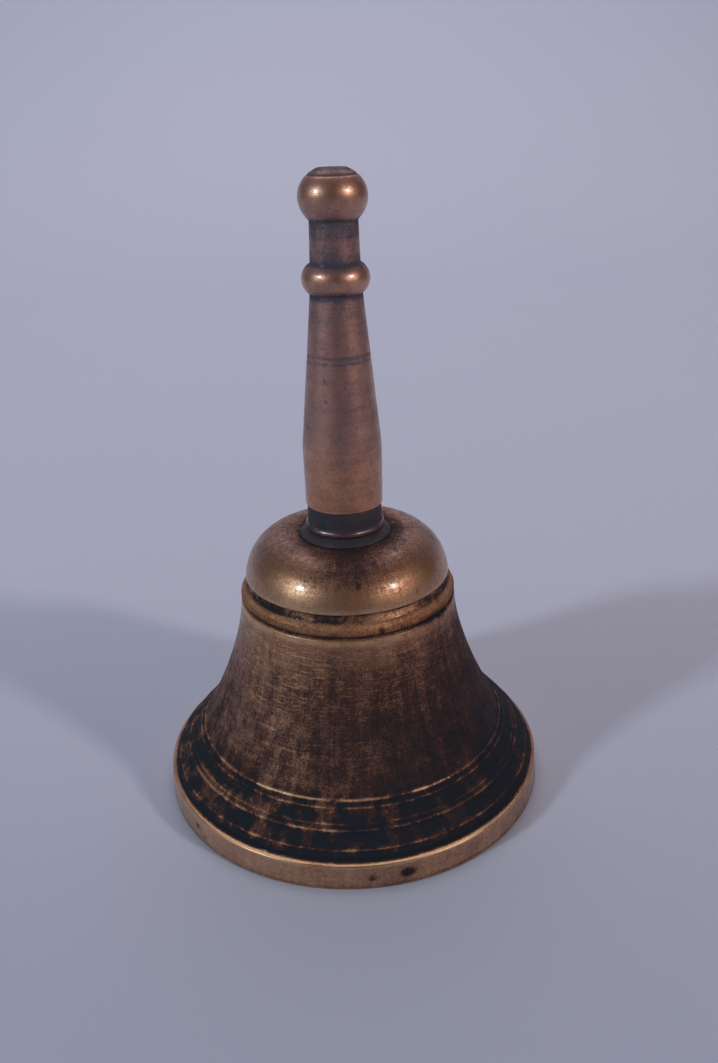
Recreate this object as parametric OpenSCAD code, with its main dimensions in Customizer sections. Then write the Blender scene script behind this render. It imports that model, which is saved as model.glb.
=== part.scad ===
// Handbell, all metal: a cast and turned bell, a turned handle, a collar between them,
// and a clapper that hangs on a link from an eye stud inside the crown.
// Origin: centre of the circle that the rim stands on. +Z runs up the axis.
// Lengths are in millimetres.

/* [Bell] */
// outside diameter of the mouth, at the table
mouth_d = 76; // [72:0.2:82]
// height of the flat top of the crown
bell_h = 53.1; // [51:0.1:56]
// outside diameter at the top of the waist
waist_d = 41.4; // [40:0.2:45]
// diameter of the flat on top of the crown
crown_flat_d = 24.4; // [22:0.2:26]
// height of the plain band round the rim
band_h = 5.1; // [4:0.1:6]
// height at which the flaring lip meets the waist
lip_h = 13.4; // [12.6:0.1:14.5]
// width of the flat that the rim stands on
rim_w = 3; // [2.4:0.1:3.6]
// wall thickness of the lip, where the clapper strikes
lip_wall = 3.4; // [2.8:0.1:3.8]
// wall thickness of the waist
waist_wall = 2.4; // [2:0.1:2.8]
// thickness of the crown
crown_wall = 3.2; // [2.6:0.1:3.6]
// height of the wide groove under the shoulder
groove_h = 1.75; // [1:0.05:2]
// depth of the wide groove at its deepest, near its upper edge
groove_deep = 0.5; // [0.2:0.05:0.7]
// radius of the narrow groove below it
fine_groove_r = 0.4; // [0.2:0.05:0.5]
// radius of the raised wires round the lip
wire_r = 0.3; // [0.2:0.05:0.4]

/* [Collar] */
// height of the collar between crown and handle
collar_h = 6; // [5:0.1:7]
// diameter of the collar where it sits on the crown
collar_foot_d = 17.2; // [16:0.1:18.5]
// diameter of the collar's plain upper part
collar_d = 13.9; // [13.4:0.1:14.3]
// diameter over the collar's bead
bead_d = 14.9; // [14.6:0.1:15.4]
// height of the collar's bead
bead_h = 1.4; // [0.8:0.1:1.8]

/* [Handle] */
// length of the grip, from the foot to the ring
grip_l = 38.6; // [34:0.2:44]
// length of the grip's nearly straight lower part
grip_foot_l = 11.8; // [9:0.2:15]
// diameter of the grip at its foot
grip_d = 14.4; // [13.6:0.1:15.4]
// diameter of the grip under the ring
grip_top_d = 9.2; // [8.8:0.1:10]
// diameter over the ring
ring_d = 11.9; // [11:0.1:13]
// height of the ring
ring_h = 5; // [4:0.1:6]
// length of the neck between ring and ball
neck_l = 7; // [5:0.1:9]
// diameter of the neck under the ball
neck_d = 8.3; // [7.8:0.1:9]
// diameter of the ball
ball_d = 11.8; // [11:0.1:14]
// height of the ball's lower half
ball_low_h = 5.3; // [4.8:0.1:6]
// height of the ball's upper half before its top is cut flat
ball_top_h = 4.9; // [4.6:0.1:6]
// diameter of the flat on top of the ball
ball_flat_d = 5; // [3:0.1:7]

/* [Clapper] */
// diameter of the clapper ball
clapper_ball_d = 14; // [12:0.2:15]
// height of the clapper ball's centre as it hangs
clapper_ball_z = 10.5; // [10:0.1:12]
// diameter of the clapper rod above its ball
rod_d = 3.2; // [2.8:0.1:3.6]
// wire thickness of the clapper's eye
rod_eye_wire_d = 1.8; // [1.5:0.1:1.9]
// wire thickness of the link
link_wire_d = 1.8; // [1.5:0.1:1.9]
// mean diameter of the link
link_d = 7.2; // [7.2:0.1:7.6]

/* [Fastening] */
// diameter of the staple's shank
stud_d = 5; // [4.6:0.1:5.2]
// depth of the hole in the handle
stud_hole_l = 16; // [14:0.2:24]
// nut width across its flats
nut_af = 8; // [7.8:0.1:10]
// nut thickness
nut_h = 2.7; // [2.4:0.1:3.2]
// washer diameter
washer_d = 12; // [11:0.2:14]
// washer thickness
washer_h = 0.8; // [0.6:0.1:1.2]

/* [Hidden] */
$fn = 96;

// play between link, staple and clapper eye
play = 0.3;
// radial room round the shank in the crown, collar and washer
shank_room = 0.25;
// how far a cutting shape reaches past the face that it cuts
cut_over = 1;
// number of straight steps in one computed curve
curve_steps = 16;

// bell, outside
mouth_r = mouth_d / 2;
edge = 0.3;
band_lean = 0.4;
step_h = 1;
lip_low_reach = 1.5;
lip_top_reach = 7.9;
waist_drop = 11.2;
shoulder_drop = 9.4;
shoulder_step = 1;
groove_drop = 7.85;
fine_groove_drop = 12;
band_top_r = mouth_r - band_lean;
lip_low = [mouth_r - lip_low_reach, band_h + step_h];
lip_top = [mouth_r - lip_top_reach, lip_h];
waist_r = waist_d / 2;
waist_z = bell_h - waist_drop;
shoulder_z = bell_h - shoulder_drop;
shoulder_r = waist_r - shoulder_step;
crown_r = crown_flat_d / 2;
waist_pull = 10.8;
lip_pull = [2, 3.1];
groove_top_z = bell_h - groove_drop;
groove_lip = 0.3;
groove_run_out = 0.12;
fine_groove_z = bell_h - fine_groove_drop;
// how far below the top of the lip each wire lies
wire_drops = [0, 1, 3.1, 3.9, 6.4];

// bell, inside
lip_dir = (lip_top - lip_low) / norm(lip_top - lip_low);
lip_in = [-lip_dir[1], lip_dir[0]] * lip_wall;
lip_low_in = lip_low + lip_in;
lip_top_in = lip_top + lip_in;
waist_in_r = waist_r - waist_wall;
shoulder_in_r = shoulder_r - waist_wall;
crown_in_z = bell_h - crown_wall;
stud_r = stud_d / 2;
shank_hole_r = stud_r + shank_room;

// collar
collar_top_z = bell_h + collar_h;
collar_r = collar_d / 2;
collar_foot_r = collar_foot_d / 2;
bead_r = bead_d / 2;
bead_rise = 1.85;
bead_z = bell_h + bead_rise;
bead_low_z = bead_z - bead_h / 2;
foot_pull = [0.4, 0.4];
bead_pull = [0.2, 0.3];

// handle
foot_z = collar_top_z;
grip_r = grip_d / 2;
grip_top_r = grip_top_d / 2;
grip_bulge = 0.08;
// soft corner where the grip begins to taper
knee_l = 1.5;
knee_drop = 0.12;
knee_z = foot_z + grip_foot_l;
knee_end_z = knee_z + knee_l;
knee_end_r = grip_r - knee_drop;
ring_z = foot_z + grip_l;
ring_r = ring_d / 2;
// the ring's outline is an arc over its full height
ring_rise = ring_r - grip_top_r;
ring_arc_r = (pow(ring_h / 2, 2) + pow(ring_rise, 2)) / (2 * ring_rise);
ring_wrap = asin(ring_h / 2 / ring_arc_r);
neck_z = ring_z + ring_h;
neck_r = neck_d / 2;
neck_flare = 0.2;
ball_low_z = neck_z + neck_l;
ball_r = ball_d / 2;
ball_z = ball_low_z + ball_low_h * sqrt(1 - pow(neck_r / ball_r, 2));
ball_low_angle = -acos(neck_r / ball_r);
ball_top_angle = acos(ball_flat_d / ball_d);
// the cap on the ball ends at a scribed line
cap_line_angle = 44;
scribe_r = 0.16;
// how far below the ring each scribed line lies
scribe_drops = [10.2, 11.3];
drill_half_angle = 59;

// clapper train, from the nut down
washer_low_z = crown_in_z - washer_h;
washer_bevel = 0.15;
nut_low_z = washer_low_z - nut_h;
nut_bevel = [0.7, 0.35];
staple_wire_r = 1.3;
staple_eye_r = 3.2;
eye_tuck = 0.1;
staple_eye_z = nut_low_z + eye_tuck - staple_eye_r - staple_wire_r;
staple_wire_z = staple_eye_z - staple_eye_r;
shank_blend = 0.7;
shank_bevel = 0.6;
stud_end_gap = 2;
link_r = link_d / 2;
link_wire_r = link_wire_d / 2;
link_z = staple_wire_z + staple_wire_r + link_wire_r + play - link_r;
link_wire_z = link_z - link_r;
rod_eye_r = 2.6;
rod_eye_wire_r = rod_eye_wire_d / 2;
rod_eye_z = link_wire_z + link_wire_r + rod_eye_wire_r + play - rod_eye_r;
rod_r = rod_d / 2;
rod_neck_l = 3;
rod_shoulder = 0.4;
rod_tail_r = rod_r - rod_shoulder;
clapper_ball_r = clapper_ball_d / 2;
ball_flat_rim = 0.3;
ball_seat = sqrt(pow(clapper_ball_r, 2) - pow(rod_r + ball_flat_rim, 2));
rivet_h = 0.9;
rivet_over = 0.2;

// cubic curve from a to d, pulled towards b and c
function curve(a, b, c, d) =
    [for (i = [0 : curve_steps])
        let (t = i / curve_steps, s = 1 - t)
        s * s * s * a + 3 * s * s * t * b + 3 * s * t * t * c + t * t * t * d];

// part of an ellipse round centre c, with half axes h, from angle a0 to a1
function oval(c, h, a0, a1) =
    [for (i = [0 : curve_steps])
        let (a = a0 + (a1 - a0) * i / curve_steps)
        [c[0] + h[0] * cos(a), c[1] + h[1] * sin(a)]];

// point on the outside of the lip, a given drop below its top
function on_lip(drop) = lip_top - lip_dir * drop / lip_dir[1];

// radius of the tapering grip, a given drop below the ring
function taper_r(drop) =
    grip_top_r + (knee_end_r - grip_top_r) * drop / (ring_z - knee_end_z);

// outline of the outside, from the rim up to the crown
function bell_outside() = concat(
    [[mouth_r - edge, 0],
     [mouth_r, edge],
     [band_top_r, band_h - edge],
     [band_top_r - edge, band_h],
     [lip_low[0] + edge, band_h + edge / 2],
     lip_low],
    curve(lip_top, lip_top + [-lip_pull[0], lip_pull[1]],
          [waist_r, waist_z - waist_pull], [waist_r, waist_z]),
    oval([crown_r, shoulder_z], [shoulder_r - crown_r, bell_h - shoulder_z], 0, 90),
    [[shank_hole_r, bell_h]]);

// outline of the inside, from the crown down to the rim
function bell_inside() = concat(
    [[shank_hole_r, crown_in_z]],
    oval([crown_r, shoulder_z], [shoulder_in_r - crown_r, crown_in_z - shoulder_z], 90, 0),
    curve([waist_in_r, waist_z], [waist_in_r, waist_z - waist_pull],
          lip_top_in + [-lip_pull[0], lip_pull[1]], lip_top_in),
    [lip_low_in,
     [mouth_r - rim_w, edge],
     [mouth_r - rim_w + edge, 0]]);

module bell_shell() {
    color([0.62, 0.45, 0.24])
    rotate_extrude()
    difference() {
        union() {
            polygon(concat(bell_outside(), bell_inside()));
            for (drop = wire_drops)
                translate(on_lip(drop)) circle(r = wire_r);
        }
        polygon([[waist_r, groove_top_z],
                 [shoulder_r, groove_top_z],
                 [shoulder_r - groove_deep, groove_top_z - groove_lip],
                 [shoulder_r + groove_run_out, groove_top_z - groove_h],
                 [waist_r, groove_top_z - groove_h]]);
        translate([waist_r, fine_groove_z]) circle(r = fine_groove_r);
    }
}

module crown_collar() {
    color([0.20, 0.17, 0.15])
    rotate_extrude()
    polygon(concat(
        [[shank_hole_r, bell_h]],
        curve([collar_foot_r, bell_h], [collar_foot_r, bell_h] + [-foot_pull[0], foot_pull[1]],
              [collar_r, bead_low_z] + [bead_pull[0], -bead_pull[1]], [collar_r, bead_low_z]),
        oval([collar_r, bead_z], [bead_r - collar_r, bead_h / 2], -90, 90),
        [[collar_r, collar_top_z],
         [shank_hole_r, collar_top_z]]));
}

module handle() {
    drill_tip = stud_r / tan(drill_half_angle);
    color([0.58, 0.36, 0.22])
    rotate_extrude()
    difference() {
        polygon(concat(
            [[0, foot_z + stud_hole_l + drill_tip],
             [stud_r, foot_z + stud_hole_l],
             [stud_r, foot_z],
             [grip_r - edge, foot_z],
             [grip_r, foot_z + edge]],
            curve([grip_r + grip_bulge, knee_z - knee_l],
                  [grip_r + grip_bulge, knee_z - knee_l / 3],
                  [grip_r + grip_bulge / 2, knee_z + knee_l / 3],
                  [knee_end_r, knee_end_z]),
            [[grip_top_r, ring_z]],
            oval([ring_r - ring_arc_r, ring_z + ring_h / 2], [ring_arc_r, ring_arc_r],
                 -ring_wrap, ring_wrap),
            [[neck_r + neck_flare, neck_z]],
            oval([0, ball_z], [ball_r, ball_low_h], ball_low_angle, 0),
            oval([0, ball_z], [ball_r, ball_top_h], 0, ball_top_angle),
            [[0, ball_z + ball_top_h * sin(ball_top_angle)]]));
        for (drop = scribe_drops)
            translate([taper_r(drop), ring_z - drop]) circle(r = scribe_r);
        translate([ball_r * cos(cap_line_angle), ball_z + ball_top_h * sin(cap_line_angle)])
            circle(r = scribe_r);
    }
}

module clapper_staple() {
    stud_top_z = foot_z + stud_hole_l - stud_end_gap;
    shank_low_z = staple_eye_z + staple_eye_r;
    color([0.45, 0.43, 0.41])
    union() {
        rotate_extrude()
            polygon([[0, shank_low_z],
                     [stud_r - shank_blend, shank_low_z],
                     [stud_r, shank_low_z + shank_blend],
                     [stud_r, stud_top_z - shank_bevel],
                     [stud_r - shank_bevel, stud_top_z],
                     [0, stud_top_z]]);
        translate([0, 0, staple_eye_z])
            rotate([90, 0, 0])
                rotate_extrude()
                    translate([staple_eye_r, 0]) circle(r = staple_wire_r);
    }
}

module staple_nut() {
    corner_r = nut_af / 2 / cos(30);
    color([0.50, 0.48, 0.45])
    difference() {
        intersection() {
            translate([0, 0, nut_low_z]) cylinder(r = corner_r, h = nut_h, $fn = 6);
            rotate_extrude()
                polygon([[0, nut_low_z],
                         [corner_r - nut_bevel[0], nut_low_z],
                         [corner_r, nut_low_z + nut_bevel[1]],
                         [corner_r, washer_low_z],
                         [0, washer_low_z]]);
        }
        translate([0, 0, nut_low_z - cut_over])
            cylinder(r = stud_r, h = nut_h + 2 * cut_over);
    }
}

module nut_washer() {
    washer_r = washer_d / 2;
    color([0.55, 0.48, 0.34])
    rotate_extrude()
        polygon([[shank_hole_r, washer_low_z],
                 [washer_r - washer_bevel, washer_low_z],
                 [washer_r, washer_low_z + washer_bevel],
                 [washer_r, crown_in_z],
                 [shank_hole_r, crown_in_z]]);
}

module clapper_link() {
    color([0.42, 0.40, 0.38])
    translate([0, 0, link_z])
        rotate([0, 90, 0])
            rotate_extrude()
                translate([link_r, 0]) circle(r = link_wire_r);
}

module clapper_rod() {
    eye_low_z = rod_eye_z - rod_eye_r;
    seat_z = clapper_ball_z + ball_seat;
    tail_z = clapper_ball_z - ball_seat;
    color([0.44, 0.42, 0.40])
    union() {
        translate([0, 0, rod_eye_z])
            rotate([90, 0, 0])
                rotate_extrude()
                    translate([rod_eye_r, 0]) circle(r = rod_eye_wire_r);
        rotate_extrude()
            polygon(concat(
                [[0, eye_low_z],
                 [rod_eye_wire_r, eye_low_z],
                 [rod_r, eye_low_z - rod_neck_l],
                 [rod_r, seat_z],
                 [rod_tail_r, seat_z],
                 [rod_tail_r, tail_z]],
                oval([0, tail_z], [rod_r + rivet_over, rivet_h], 0, -90)));
    }
}

module clapper_ball() {
    color([0.60, 0.46, 0.26])
    rotate_extrude()
    intersection() {
        translate([0, clapper_ball_z]) circle(r = clapper_ball_r);
        translate([rod_tail_r, clapper_ball_z - ball_seat])
            square([clapper_ball_r, 2 * ball_seat]);
    }
}

bell_shell();
crown_collar();
handle();
clapper_staple();
staple_nut();
nut_washer();
clapper_link();
clapper_rod();
clapper_ball();
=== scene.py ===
import math

import bpy
import numpy as np
from mathutils import Matrix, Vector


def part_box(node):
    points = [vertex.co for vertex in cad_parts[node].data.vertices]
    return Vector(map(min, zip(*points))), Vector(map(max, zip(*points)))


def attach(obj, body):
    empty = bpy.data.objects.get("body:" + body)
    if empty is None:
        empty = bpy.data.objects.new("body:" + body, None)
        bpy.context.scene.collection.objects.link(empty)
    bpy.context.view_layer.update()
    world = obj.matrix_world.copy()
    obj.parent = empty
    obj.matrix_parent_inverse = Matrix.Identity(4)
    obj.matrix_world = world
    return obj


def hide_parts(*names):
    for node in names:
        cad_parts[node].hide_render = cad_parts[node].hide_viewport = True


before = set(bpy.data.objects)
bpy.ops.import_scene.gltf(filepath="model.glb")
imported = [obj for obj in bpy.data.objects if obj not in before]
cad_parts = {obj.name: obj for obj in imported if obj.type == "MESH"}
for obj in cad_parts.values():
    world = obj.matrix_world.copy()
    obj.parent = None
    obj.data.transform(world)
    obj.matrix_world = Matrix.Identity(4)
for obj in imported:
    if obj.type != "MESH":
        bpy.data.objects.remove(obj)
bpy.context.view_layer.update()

# Lengths are in millimetres and are scaled by MM when a mesh is made. The camera, the lights
# and the paper are placed in metres. Angles round the bell run from the front (-Y) towards +X.
MM = 0.001
ON_AXIS = 1e-6
ATTRIBUTES = ("along", "wear", "hollow", "tint", "smear", "gold", "matt", "rubbed")

CAMERA_PLACE = (0.0, -0.16654, 0.12680)
CAMERA_YAW, CAMERA_PITCH, CAMERA_ROLL = -0.883, 24.0, -1.862
FOCAL_LENGTH, SENSOR_WIDTH = 32.309577, 36.0
LIGHTS_AIM = np.array([0, 0, 0.05])
ROOM_COLOUR, ROOM_STRENGTH = (0.62, 0.56, 0.56, 1), 0.055


# ---- camera and light

def unit(v):
    v = np.asarray(v, float)
    return v / np.linalg.norm(v)


def placed(x, y, z, at):
    """Matrix of an object whose axes are x, y and z, standing at a place."""
    return Matrix([(x[i], y[i], z[i], at[i]) for i in range(3)] + [(0, 0, 0, 1)])


def add_object(name, data, matrix=None):
    obj = bpy.data.objects.new(name, data)
    bpy.context.scene.collection.objects.link(obj)
    if matrix is not None:
        obj.matrix_world = matrix
    return obj


def make_camera():
    """The camera stands close in front of the bell and looks 24 degrees down."""
    turns = [math.radians(a) for a in (CAMERA_YAW, CAMERA_PITCH, CAMERA_ROLL)]
    (cy, sy), (cp, sp), (cr, sr) = ((math.cos(a), math.sin(a)) for a in turns)
    yaw = np.array([[cy, sy, 0], [-sy, cy, 0], [0, 0, 1]])
    pitch = np.array([[1, 0, 0], [0, sp, cp], [0, cp, -sp]])
    roll = np.array([[cr, sr, 0], [-sr, cr, 0], [0, 0, 1]])
    right, up, ahead = roll @ pitch @ yaw
    cam = bpy.data.cameras.new("camera")
    cam.sensor_width = SENSOR_WIDTH
    cam.sensor_fit = "AUTO"
    cam.lens = FOCAL_LENGTH
    cam.clip_start = 0.01
    cam.clip_end = 20.0
    bpy.context.scene.camera = add_object("camera", cam, placed(right, up, -ahead, CAMERA_PLACE))


def disk_light(name, size, power, colour, matrix):
    light = bpy.data.lights.new(name, "AREA")
    light.shape = "DISK"
    light.size = size
    light.energy = power
    light.color = colour
    add_object(name, light, matrix)


def key_light(name, azimuth, elevation, distance, size, power, colour):
    """Soft box aimed at the bell. Azimuth is measured from the camera's side towards +X."""
    a, e = math.radians(azimuth), math.radians(elevation)
    z = np.array([math.sin(a) * math.cos(e), -math.cos(a) * math.cos(e), math.sin(e)])
    x = unit(np.cross([0, 0, 1], z))
    disk_light(name, size, power, colour, placed(x, np.cross(z, x), z, z * distance + LIGHTS_AIM))


def make_world():
    world = bpy.data.worlds.new("room")
    bpy.context.scene.world = world
    world.use_nodes = True
    background = world.node_tree.nodes["Background"]
    background.inputs["Color"].default_value = ROOM_COLOUR
    background.inputs["Strength"].default_value = ROOM_STRENGTH


# ---- node graphs

class Graph:
    """Short hand for building one node material."""

    def __init__(self, name):
        self.material = bpy.data.materials.new(name)
        self.material.use_nodes = True
        self.tree = self.material.node_tree
        self.tree.nodes.clear()
        out = self.tree.nodes.new("ShaderNodeOutputMaterial")
        self.bsdf = self.tree.nodes.new("ShaderNodeBsdfPrincipled")
        self.tree.links.new(self.bsdf.outputs[0], out.inputs[0])

    def node(self, kind, **props):
        n = self.tree.nodes.new(kind)
        for k, v in props.items():
            setattr(n, k, v)
        return n

    def put(self, socket, value):
        """Link a socket to another, or set its value."""
        if isinstance(value, bpy.types.NodeSocket):
            self.tree.links.new(value, socket)
        elif isinstance(value, (tuple, list)) and len(value) == 3 and socket.type == "RGBA":
            socket.default_value = (*value, 1)
        else:
            socket.default_value = value

    def fill(self, sockets, values):
        for socket, value in zip(sockets, values):
            self.put(socket, value)

    def math(self, op, a, b=0.0, clamp=False):
        n = self.node("ShaderNodeMath", operation=op, use_clamp=clamp)
        self.fill(n.inputs, (a, b))
        return n.outputs[0]

    def add(self, *terms):
        total = terms[0]
        for t in terms[1:]:
            total = self.math("ADD", total, t)
        return total

    def mul(self, a, b):
        return self.math("MULTIPLY", a, b)

    def within(self, value, low, high):
        return self.math("MINIMUM", self.math("MAXIMUM", value, low), high)

    def fit(self, value, low, high, to_low=0.0, to_high=1.0, smooth=True):
        """Value from low..high spread over to_low..to_high, and held there beyond."""
        kind = "SMOOTHSTEP" if smooth else "LINEAR"
        n = self.node("ShaderNodeMapRange", interpolation_type=kind)
        self.fill(n.inputs, (value, low, high, to_low, to_high))
        return n.outputs[0]

    def mix(self, fac, a, b, **props):
        n = self.node("ShaderNodeMix", data_type="RGBA", **props)
        self.fill((n.inputs["Factor"], n.inputs[6], n.inputs[7]), (fac, a, b))
        return n.outputs[2]

    def tone(self, colour, fac, factors):
        """Multiply a colour by the factors, as far as fac says."""
        return self.mix(fac, colour, factors, blend_type="MULTIPLY")

    def ramp(self, value, stops):
        n = self.node("ShaderNodeValToRGB")
        e = n.color_ramp.elements
        while len(e) < len(stops):
            e.new(1.0)
        for el, (p, c) in zip(e, stops):
            el.position = p
            el.color = (*c, 1) if isinstance(c, tuple) else (c, c, c, 1)
        self.put(n.inputs[0], value)
        return n.outputs[0]

    def vec(self, x, y, z):
        n = self.node("ShaderNodeCombineXYZ")
        self.fill(n.inputs, (x, y, z))
        return n.outputs[0]

    def split(self, vector):
        n = self.node("ShaderNodeSeparateXYZ")
        self.put(n.inputs[0], vector)
        return tuple(n.outputs)

    def red(self, colour):
        n = self.node("ShaderNodeSeparateColor")
        self.put(n.inputs[0], colour)
        return n.outputs[0]

    def noise(self, vector, scale=1.0, detail=3.0, rough=0.5, warp=0.0):
        n = self.node("ShaderNodeTexNoise")
        keys = ("Vector", "Scale", "Detail", "Roughness", "Distortion")
        self.fill((n.inputs[k] for k in keys), (vector, scale, detail, rough, warp))
        return n.outputs[0]

    def cells(self, vector, scale):
        """Distance to the nearest cell's centre, and that cell's own random colour."""
        n = self.node("ShaderNodeTexVoronoi", feature="F1")
        self.fill((n.inputs["Vector"], n.inputs["Scale"]), (vector, scale))
        return n.outputs["Distance"], n.outputs["Color"]

    def attr(self, name):
        return self.node("ShaderNodeAttribute", attribute_name=name).outputs["Fac"]

    def place(self):
        """Position on the piece in millimetres, whole and as x, y, z, and the x and y of the
        direction round its upright axis."""
        scaled = self.node("ShaderNodeVectorMath", operation="SCALE")
        self.put(scaled.inputs[0], self.node("ShaderNodeTexCoord").outputs["Object"])
        scaled.inputs["Scale"].default_value = 1 / MM
        x, y, z = self.split(scaled.outputs[0])
        flat = self.node("ShaderNodeVectorMath", operation="NORMALIZE")
        self.put(flat.inputs[0], self.vec(x, y, 0.0))
        return scaled.outputs[0], (x, y, z), self.split(flat.outputs[0])[:2]

    def bump(self, height, distance, strength):
        n = self.node("ShaderNodeBump")
        keys = ("Height", "Distance", "Strength")
        self.fill((n.inputs[k] for k in keys), (height, distance, strength))
        return n.outputs[0]

    def finish(self, colour, metallic, rough, normal, specular=0.5, coat=0.0):
        keys = ("Base Color", "Metallic", "Roughness", "Normal", "Specular IOR Level",
                "Coat Weight")
        self.fill((self.bsdf.inputs[k] for k in keys),
                  (colour, metallic, rough, normal, specular, coat))
        return self.material


def turned_metal(name, palette, radius, lines=9.0, mottle=0.6, grain=0.45, streaks=0.3,
                 gloss=0.30, coat=0.08, green=0.0, red=0.0, relief=0.5, turning=1.0):
    """Old turned brass: bright where rubbed, brown where tarnished, near black in the hollows.

    The mesh carries the attributes that lathe() lists. The palette runs from rubbed to black.
    The upright marks are spaced for the radius, and lines says how close the turning lines lie.
    gloss is the roughness where the metal is bright. The other numbers are strengths.
    """
    bright, satin, dark, black = palette
    g = Graph(name)
    pos, _, (ux, uy) = g.place()
    along, wear, hollow, tint, smear, gold, matt, rubbed = (g.attr(k) for k in ATTRIBUTES)

    def round_noise(across, up, detail, rough=0.6):
        """Noise with one scale round the piece and another along its outline."""
        vector = g.vec(g.mul(ux, radius * across), g.mul(uy, radius * across), g.mul(along, up))
        return g.noise(vector, 1.0, detail, rough)

    def centred(value, amount):
        return g.mul(g.math("SUBTRACT", value, 0.5), amount)

    def spots(scale, core, rim, rarest, commonest):
        """Round spots in those cells whose random number is high."""
        far, kind = g.cells(pos, scale)
        return g.mul(g.fit(far, core, rim, 1.0, 0.0), g.fit(g.red(kind), rarest, commonest))

    # noise in the round, from coarse to fine
    big = g.noise(pos, 0.06, 3, 0.55, 0.3)
    mid = g.noise(pos, 0.26, 5, 0.62, 0.4)
    fine = g.noise(pos, 1.1, 5, 0.72)
    grit = g.noise(pos, 3.4, 4, 0.70)
    # upright marks, then marks round the piece
    streak = round_noise(0.50, 0.055, 5)
    thread = round_noise(1.5, 0.10, 3)
    smudge = round_noise(0.30, 0.30, 3, 0.5)
    line = round_noise(0.03, lines, 3)
    coarse = round_noise(0.05, lines * 0.22, 3)
    scratch = g.mul(g.fit(round_noise(0.20, 2.6, 4, 0.66), 0.54, 0.66), rubbed)

    # how dark the skin is, from 0, rubbed bright, to 1, black: dirt and patina, plus the painted
    # shade that tint brings in
    upright = g.add(centred(streak, streaks * 1.25), centred(thread, streaks * 0.6))
    dirt_and_shade = g.add(tint, centred(big, mottle * 0.6), centred(mid, mottle * 0.50),
                 centred(fine, mottle * 0.85), centred(grit, grain),
                 centred(line, mottle * turning * 0.35), centred(coarse, mottle * turning * 0.45),
                 g.mul(upright, g.math("ADD", smear, 0.28)), g.mul(scratch, -0.30))
    # smeared places: blotches, broken by bright flecks
    broken = g.add(g.mul(g.fit(smudge, 0.40, 0.58), 0.9), g.mul(streak, 0.5), g.mul(fine, 0.3))
    fleck = g.fit(g.noise(pos, 0.75, 6, 0.78), 0.57, 0.66)
    dirt_and_shade = g.add(dirt_and_shade, g.mul(smear, g.math("SUBTRACT", broken, 0.78)),
                 g.mul(g.mul(fleck, smear), -0.75))
    # edges are worn bright and hollows hold dirt, both unevenly
    worn = g.add(g.mul(mid, 0.6), g.mul(streak, 0.3), g.mul(fine, 0.4))
    dirt_and_shade = g.math("SUBTRACT", dirt_and_shade, g.mul(wear, g.fit(worn, 0.48, 0.78)))
    caught = g.add(g.mul(mid, 0.7), g.mul(fine, 0.3))
    dirt_and_shade = g.math("ADD", dirt_and_shade, g.mul(hollow, g.fit(caught, 0.38, 0.58, 0.35, 1.0)))
    # small round corrosion spots of two sizes
    spot = spots(0.42, 0.06, 0.22, 0.86, 0.90)
    speck = spots(1.9, 0.10, 0.34, 0.70, 0.76)
    dirt_and_shade = g.within(g.add(dirt_and_shade, g.mul(spot, 0.22), g.mul(speck, 0.13)), 0.0, 1.0)

    colour = g.ramp(dirt_and_shade, [(0.0, bright), (0.32, satin), (0.68, dark), (0.94, black)])
    # patches that lean to olive and to rust
    for amount, scale, warp, lean in ((green, 0.17, 0.6, (0.95, 1.08, 0.62)),
                                      (red, 0.23, 1.0, (1.15, 0.80, 0.78))):
        if amount:
            hue = tuple(c * k for c, k in zip(satin, lean))
            patch = g.fit(g.noise(pos, scale, 4, 0.6, warp), 0.52, 0.70, 0.0, amount)
            colour = g.mix(patch, colour, g.mix(g.fit(dirt_and_shade, 0.20, 0.90), hue, black))
    colour = g.tone(colour, g.add(gold, g.mul(scratch, 0.5)), (1.08, 0.97, 0.70))
    metallic = g.ramp(dirt_and_shade, [(0.0, 1.0), (0.50, 0.96), (0.74, 0.75), (0.96, 0.10)])
    rough = g.add(g.fit(dirt_and_shade, 0.15, 0.80, gloss, gloss + 0.34), centred(fine, 0.16),
                  centred(line, 0.10), g.mul(wear, -0.04), g.mul(smear, 0.14), g.mul(matt, 0.22))
    height = g.add(g.mul(line, 0.5), g.mul(coarse, 0.35), g.mul(fine, relief),
                   g.mul(grit, relief * 0.5), g.mul(spot, -0.6), g.mul(speck, -0.4),
                   g.mul(streak, 0.2))
    # the film of grease that gives the bright places their sharp glints
    g.bsdf.inputs["Coat Roughness"].default_value = 0.20
    film = g.mul(g.fit(dirt_and_shade, 0.30, 0.72, coat, 0.0), g.math("SUBTRACT", 1.0, matt, clamp=True))
    return g.finish(colour, metallic, g.within(rough, 0.16, 0.85), g.bump(height, 0.00006, 0.50),
                    specular=0.20, coat=film)


def dull_steel(name, base, rust, oil):
    """Forged iron that has darkened: grey metal, brown patches, a little oil in the hollows."""
    g = Graph(name)
    pos, _, _ = g.place()
    mid = g.noise(pos, 0.30, 5, 0.65, 0.5)
    fine = g.noise(pos, 1.6, 5, 0.7)
    grit = g.noise(pos, 6.0, 3, 0.6)
    brown = g.fit(g.add(g.mul(mid, 0.7), g.mul(fine, 0.4)), 0.50, 0.66)
    colour = g.mix(brown, g.mix(g.fit(fine, 0.35, 0.7), base, oil), rust)
    metallic = g.fit(brown, 0.0, 1.0, 0.95, 0.45, False)
    rough = g.add(g.fit(brown, 0.0, 1.0, 0.34, 0.62, False), g.mul(grit, 0.10))
    height = g.add(g.mul(mid, 0.4), g.mul(fine, 0.6), g.mul(grit, 0.4))
    return g.finish(colour, metallic, rough, g.bump(height, 0.00010, 0.6))


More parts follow.
